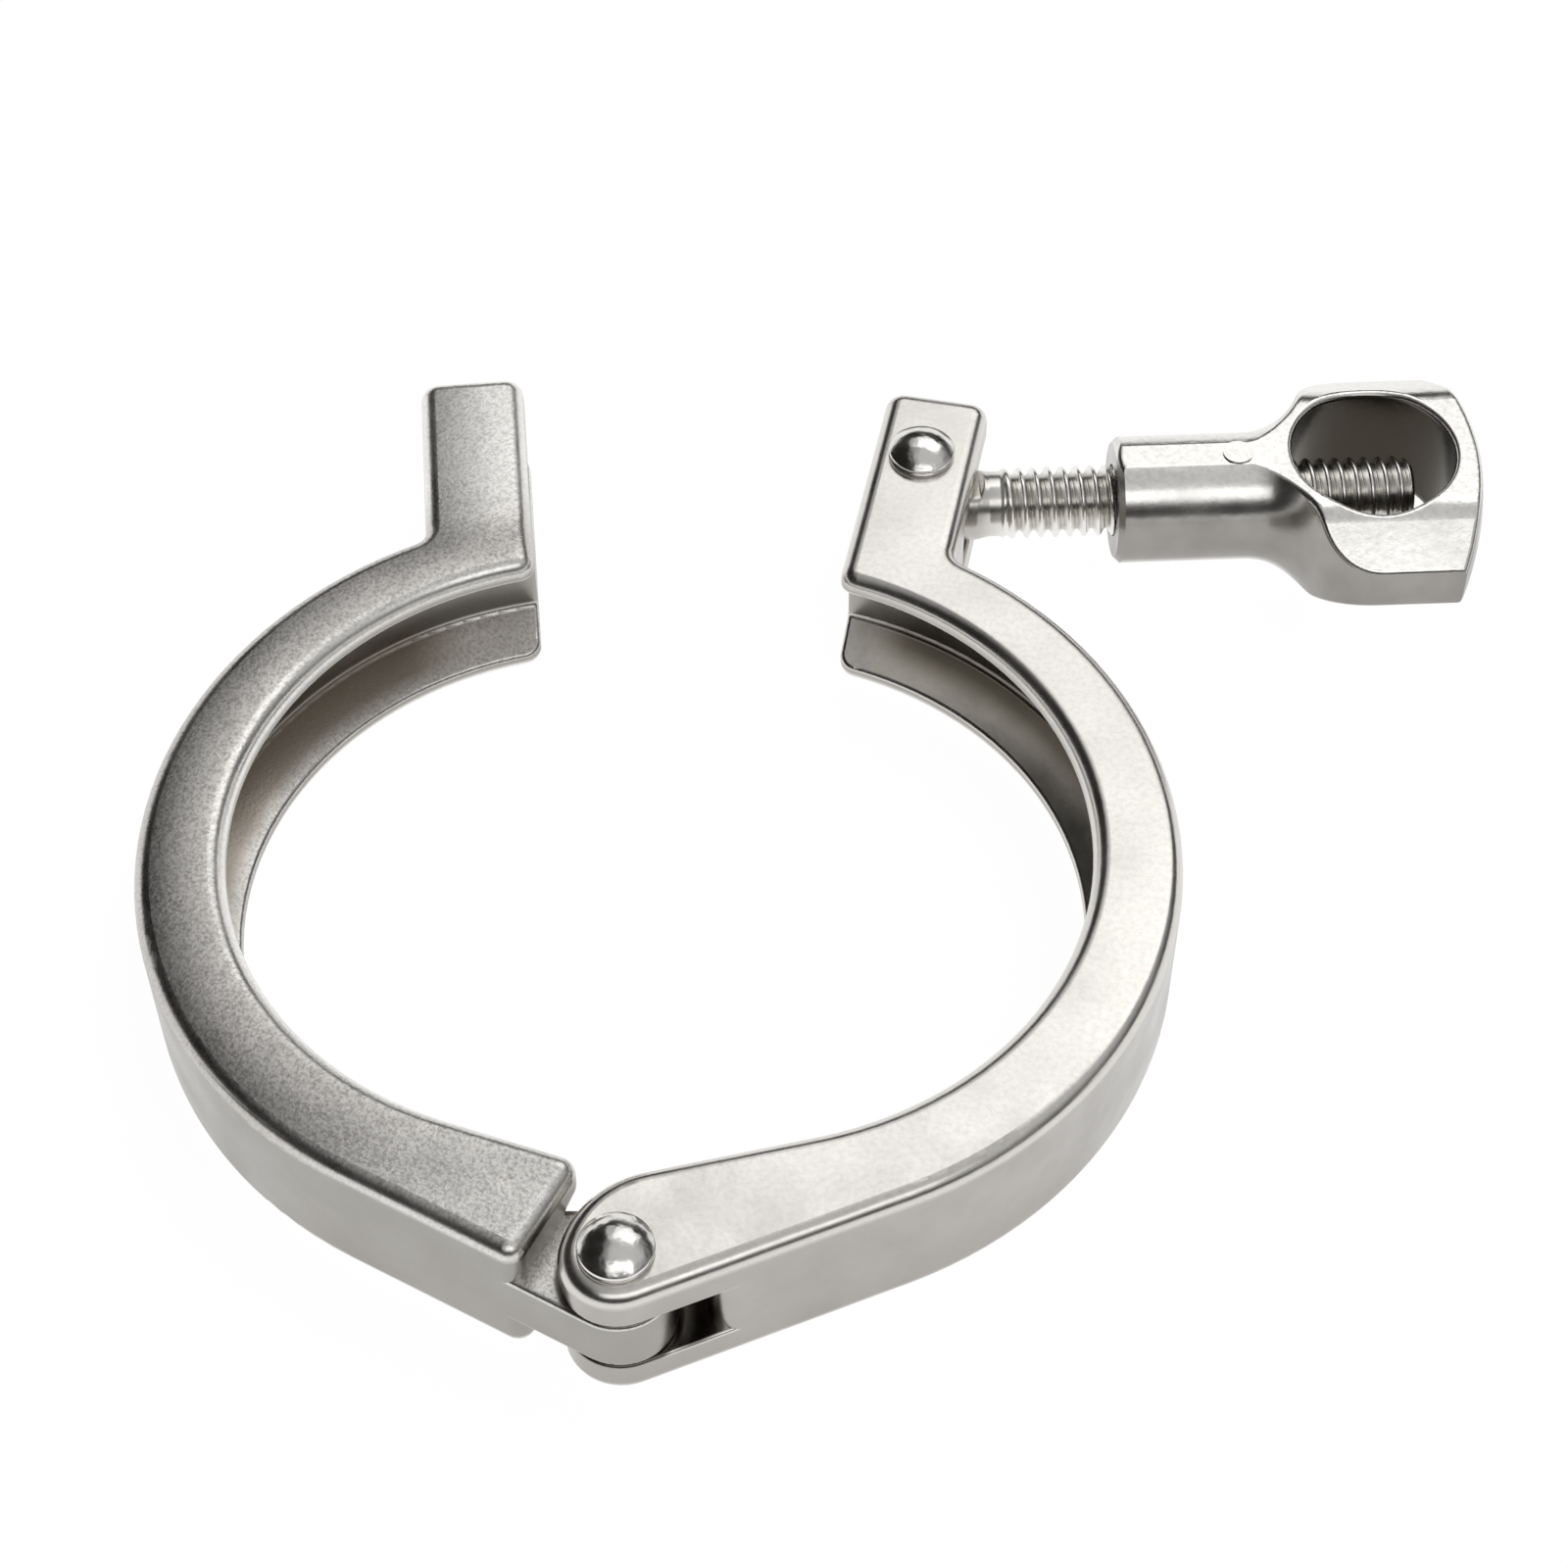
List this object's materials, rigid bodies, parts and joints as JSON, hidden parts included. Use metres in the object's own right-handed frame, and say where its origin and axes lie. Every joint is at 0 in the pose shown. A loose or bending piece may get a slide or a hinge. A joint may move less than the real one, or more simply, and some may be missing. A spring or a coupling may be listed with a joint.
{
  "type": "sanitary clamp",
  "caption": "Hinged split clamp ring with an inner V-groove, an eye bolt that swings into a forked lug and a windowed wing nut, lying open and flat.",
  "frame": {"origin": "on the clevis half's ring axis, at mid-thickness", "axes": "+Z along the ring axis and up as it lies, +Y from the hinge pin towards the lugs, +X into the clevis half, so that the mating face of that half is parallel to YZ"},
  "size_m": [0.1024, 0.1095, 0.0148],
  "materials": {
    "cast_ring_bright": "tumbled cast stainless steel, fine satin grain",
    "cast_ring_grey": "tumbled cast stainless steel, fine sandy grain",
    "polished_rivet": "burnished stainless steel rivet head",
    "rolled_thread": "bright rolled stainless steel thread",
    "cast_nut": "electropolished cast stainless steel with a faint grain"
  },
  "bodies": {
    "clevis": {"clevis_half": "cast_ring_bright", "hinge_rivet": "polished_rivet", "bolt_rivet": "polished_rivet"},
    "tongue": {"tongue_half": "cast_ring_grey"},
    "bolt": {"swing_bolt": "rolled_thread"},
    "nut": {"wing_nut": "cast_nut"}
  },
  "joints": [
    {"name": "clamp_hinge", "type": "hinge", "parent": "clevis", "child": "tongue", "pos_m": [0, -0.0386, 0], "axis": [0, 0, 1], "range_deg": [-20.5, 150]},
    {"name": "bolt_swing", "type": "hinge", "parent": "clevis", "child": "bolt", "pos_m": [0.00725, 0.0439, 0], "axis": [0, 0, 1], "range_deg": [-34, 90]},
    {"name": "nut_travel", "type": "slide", "parent": "bolt", "child": "nut", "axis": [0.9703, 0.2419, 0], "range_m": [-0.0025, 0.018]}
  ]
}
